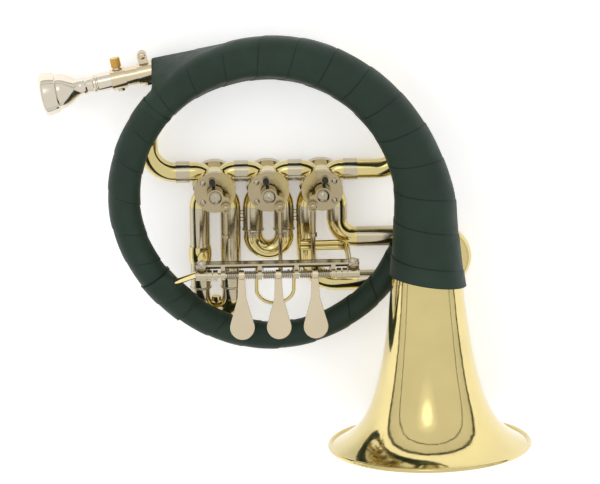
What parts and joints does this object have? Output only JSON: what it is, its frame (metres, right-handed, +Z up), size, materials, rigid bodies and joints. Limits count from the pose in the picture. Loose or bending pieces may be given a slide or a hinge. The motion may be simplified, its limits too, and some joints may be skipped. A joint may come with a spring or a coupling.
{
  "type": "valved hunting horn",
  "caption": "Small coiled hunting horn with rotary valves, finger levers, tuning slides, a leather-bound coil and a flared bell.",
  "frame": {"origin": "centre of the middle rotary valve's flat back cap, on which the horn lies", "axes": "+X along the row of valves towards the bell's side, +Y away from the bell mouth, +Z up from the caps' backs towards the finger levers"},
  "size_m": [0.3001, 0.2619, 0.1261],
  "materials": {
    "lacquered_brass": "polished, clear lacquer",
    "nickel_silver": "polished nickel silver",
    "silver_plate": "bright silver plate",
    "green_leather": "satin, dark green, wound strip",
    "gold_screw": "polished, knurled",
    "steel": "satin steel",
    "spring_steel": "drawn wire",
    "stop_rubber": "matte",
    "raw_brass": "turned, unlacquered"
  },
  "bodies": {
    "horn": {"bell": "lacquered_brass", "bell_rim_wire": "lacquered_brass", "ring_tube": "lacquered_brass", "first_turn_tube": "lacquered_brass", "leather_ring": "green_leather", "leather_left_bundle": "green_leather", "leather_right_bundle": "green_leather", "leather_tail": "green_leather", "leadpipe": "lacquered_brass", "gooseneck": "lacquered_brass", "mouthpiece_receiver": "nickel_silver", "receiver_screw": "nickel_silver", "line_ferrules": "nickel_silver", "valve_back_caps": "nickel_silver", "valve_bearings": "raw_brass", "stop_plates": "nickel_silver", "stop_plate_screws": "steel", "stop_corks": "stop_rubber", "slide_1_outer_legs": "nickel_silver", "slide_2_outer_legs": "nickel_silver", "slide_3_outer_legs": "nickel_silver", "slide_3_elbows": "lacquered_brass", "leg_collar": "lacquered_brass", "leg_braces": "nickel_silver", "left_strut": "lacquered_brass", "right_bracket": "lacquered_brass", "lever_rail": "nickel_silver", "rail_screws": "steel", "hinge_rod": "nickel_silver", "thumb_hook": "lacquered_brass", "valve_1_casing": "lacquered_brass", "lever_springs_1": "spring_steel", "valve_2_casing": "lacquered_brass", "lever_springs_2": "spring_steel", "valve_3_casing": "lacquered_brass", "lever_springs_3": "spring_steel"},
    "main_tuning_sleeve": {"tuning_sleeve": "nickel_silver"},
    "thumb_screw": {"clamp_thumb_screw": "gold_screw"},
    "mouthpiece": {"mouthpiece": "silver_plate"},
    "slide_1": {"slide_1_inner_legs": "nickel_silver", "slide_1_bow": "lacquered_brass"},
    "slide_2": {"slide_2_inner_legs": "nickel_silver", "slide_2_bow": "lacquered_brass"},
    "slide_3": {"slide_3_inner_legs": "nickel_silver", "slide_3_bow": "lacquered_brass"},
    "valve_rotor_1": {"rotor_1": "raw_brass", "crank_1": "nickel_silver", "crank_screw_1": "steel"},
    "pull_rod_1": {"link_rod_1": "nickel_silver"},
    "finger_lever_1": {"lever_1": "nickel_silver"},
    "valve_rotor_2": {"rotor_2": "raw_brass", "crank_2": "nickel_silver", "crank_screw_2": "steel"},
    "pull_rod_2": {"link_rod_2": "nickel_silver"},
    "finger_lever_2": {"lever_2": "nickel_silver"},
    "valve_rotor_3": {"rotor_3": "raw_brass", "crank_3": "nickel_silver", "crank_screw_3": "steel"},
    "pull_rod_3": {"link_rod_3": "nickel_silver"},
    "finger_lever_3": {"lever_3": "nickel_silver"}
  },
  "joints": [
    {"name": "lever_1_hinge", "type": "hinge", "parent": "horn", "child": "finger_lever_1", "pos_m": [-0.0182, -0.0421, 0.06557], "axis": [1, 0, 0], "range_deg": [0, 30], "stiffness_Nm_per_rad": 0.05, "springref_deg": -28.65, "deforming": ["lever_springs_1"]},
    {"name": "lever_2_hinge", "type": "hinge", "parent": "horn", "child": "finger_lever_2", "pos_m": [0.0042, -0.0421, 0.06557], "axis": [1, 0, 0], "range_deg": [0, 30], "stiffness_Nm_per_rad": 0.05, "springref_deg": -28.65, "deforming": ["lever_springs_2"]},
    {"name": "lever_3_hinge", "type": "hinge", "parent": "horn", "child": "finger_lever_3", "pos_m": [0.0266, -0.0421, 0.06557], "axis": [1, 0, 0], "range_deg": [0, 30], "stiffness_Nm_per_rad": 0.05, "springref_deg": -28.65, "deforming": ["lever_springs_3"]},
    {"name": "rotor_1_turn", "type": "hinge", "parent": "horn", "child": "valve_rotor_1", "pos_m": [-0.033, 0, 0.0125], "axis": [0, 0, 1], "range_deg": [0, 90]},
    {"name": "rotor_2_turn", "type": "hinge", "parent": "horn", "child": "valve_rotor_2", "pos_m": [0, 0, 0.0125], "axis": [0, 0, 1], "range_deg": [0, 90]},
    {"name": "rotor_3_turn", "type": "hinge", "parent": "horn", "child": "valve_rotor_3", "pos_m": [0.033, 0, 0.0125], "axis": [0, 0, 1], "range_deg": [-90, 0]},
    {"name": "pull_rod_1_pivot", "type": "hinge", "parent": "valve_rotor_1", "child": "pull_rod_1", "pos_m": [-0.02664, -0.00636, 0.0414], "axis": [0, 0, 1], "range_deg": [-90, 0]},
    {"name": "pull_rod_2_pivot", "type": "hinge", "parent": "valve_rotor_2", "child": "pull_rod_2", "pos_m": [0.00636, -0.00636, 0.0414], "axis": [0, 0, 1], "range_deg": [-90, 0]},
    {"name": "pull_rod_3_pivot", "type": "hinge", "parent": "valve_rotor_3", "child": "pull_rod_3", "pos_m": [0.02664, -0.00636, 0.0414], "axis": [0, 0, 1], "range_deg": [0, 90]},
    {"name": "slide_1_pull", "type": "slide", "parent": "horn", "child": "slide_1", "axis": [0, -1, 0], "range_m": [0, 0.025]},
    {"name": "slide_2_pull", "type": "slide", "parent": "horn", "child": "slide_2", "axis": [0, -1, 0], "range_m": [0, 0.009]},
    {"name": "slide_3_pull", "type": "slide", "parent": "horn", "child": "slide_3", "axis": [1, 0, 0], "range_m": [0, 0.022]},
    {"name": "tuning_sleeve_pull", "type": "slide", "parent": "horn", "child": "main_tuning_sleeve", "axis": [-0.9797, -0.2004, 0], "range_m": [-0.003, 0.015]},
    {"name": "mouthpiece_pull", "type": "slide", "parent": "main_tuning_sleeve", "child": "mouthpiece", "axis": [-0.9797, -0.2004, 0], "range_m": [0, 0.02]},
    {"name": "thumb_screw_turn", "type": "hinge", "parent": "main_tuning_sleeve", "child": "thumb_screw", "pos_m": [-0.09199, 0.07918, 0.021], "axis": [-0.2004, 0.9797, 0], "range_deg": [0, 180]}
  ],
  "couplings": [
    {"joint": "rotor_1_turn", "follows": "lever_1_hinge", "ratio": 3},
    {"joint": "rotor_2_turn", "follows": "lever_2_hinge", "ratio": 3},
    {"joint": "rotor_3_turn", "follows": "lever_3_hinge", "ratio": -3},
    {"joint": "pull_rod_1_pivot", "follows": "lever_1_hinge", "ratio": -3},
    {"joint": "pull_rod_2_pivot", "follows": "lever_2_hinge", "ratio": -3},
    {"joint": "pull_rod_3_pivot", "follows": "lever_3_hinge", "ratio": 3}
  ]
}
